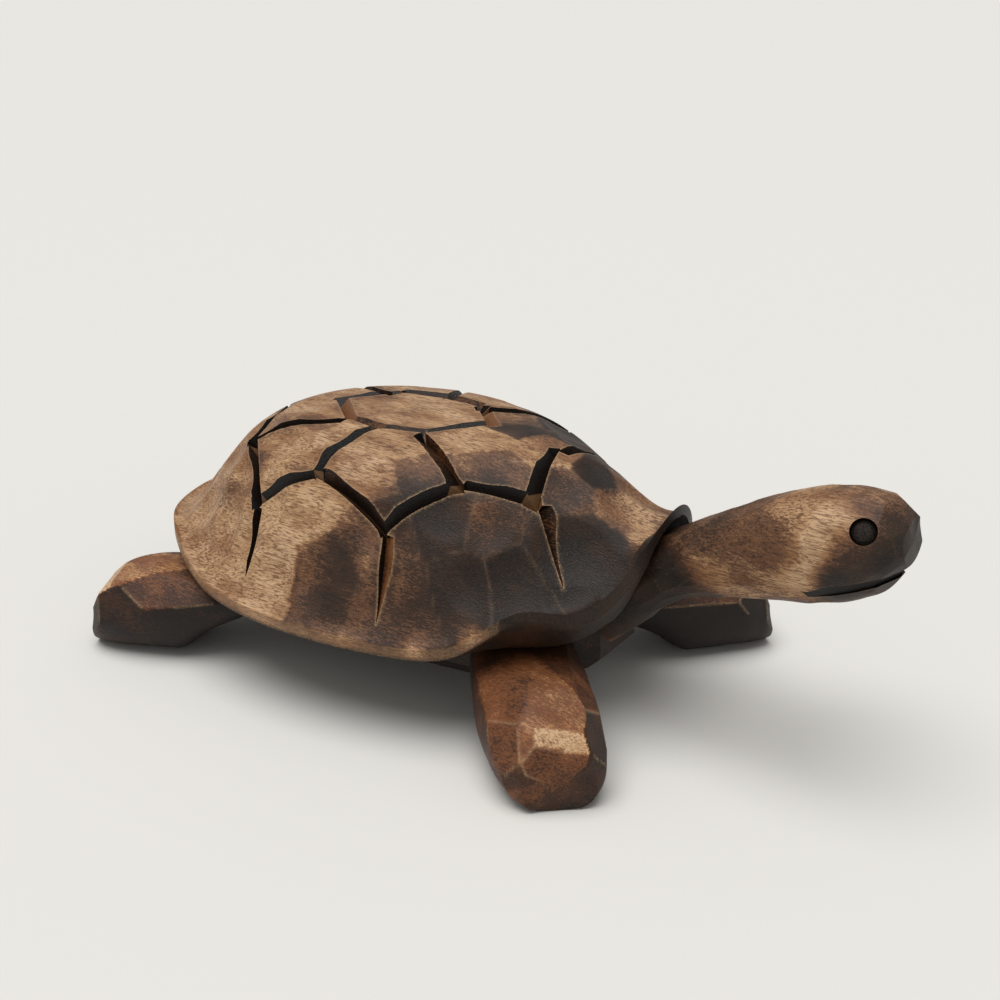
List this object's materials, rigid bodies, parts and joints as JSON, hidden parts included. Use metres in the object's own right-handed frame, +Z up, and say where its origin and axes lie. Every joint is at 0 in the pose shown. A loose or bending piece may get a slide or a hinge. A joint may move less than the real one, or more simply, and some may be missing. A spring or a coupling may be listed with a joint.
{
  "type": "turtle figurine",
  "caption": "Carved wooden turtle standing on splayed legs, with a domed shell cut into scutes, a wavy brim and a raised head.",
  "frame": {"origin": "on the floor under the middle of the figure's overall box", "axes": "+X towards the nose, +Y to the turtle's left, +Z up from the soles"},
  "size_m": [0.18, 0.0986, 0.0605],
  "materials": {
    "burnt_wood": "carved, torch-burnt, brushed and oiled to a satin sheen",
    "eye_plug": "turned plug sunk in a drilled socket, burnt black",
    "dowel_wood": "plain turned dowel, hidden inside"
  },
  "bodies": {
    "root": {"carapace": "burnt_wood", "belly_block": "burnt_wood", "head_and_neck": "burnt_wood", "front_right_leg": "burnt_wood", "front_left_leg": "burnt_wood", "rear_right_leg": "burnt_wood", "rear_left_leg": "burnt_wood", "tail": "burnt_wood", "right_eye": "eye_plug", "left_eye": "eye_plug", "neck_dowel": "dowel_wood", "tail_dowel": "dowel_wood", "shell_dowels": "dowel_wood", "leg_dowels": "dowel_wood"}
  },
  "joints": []
}
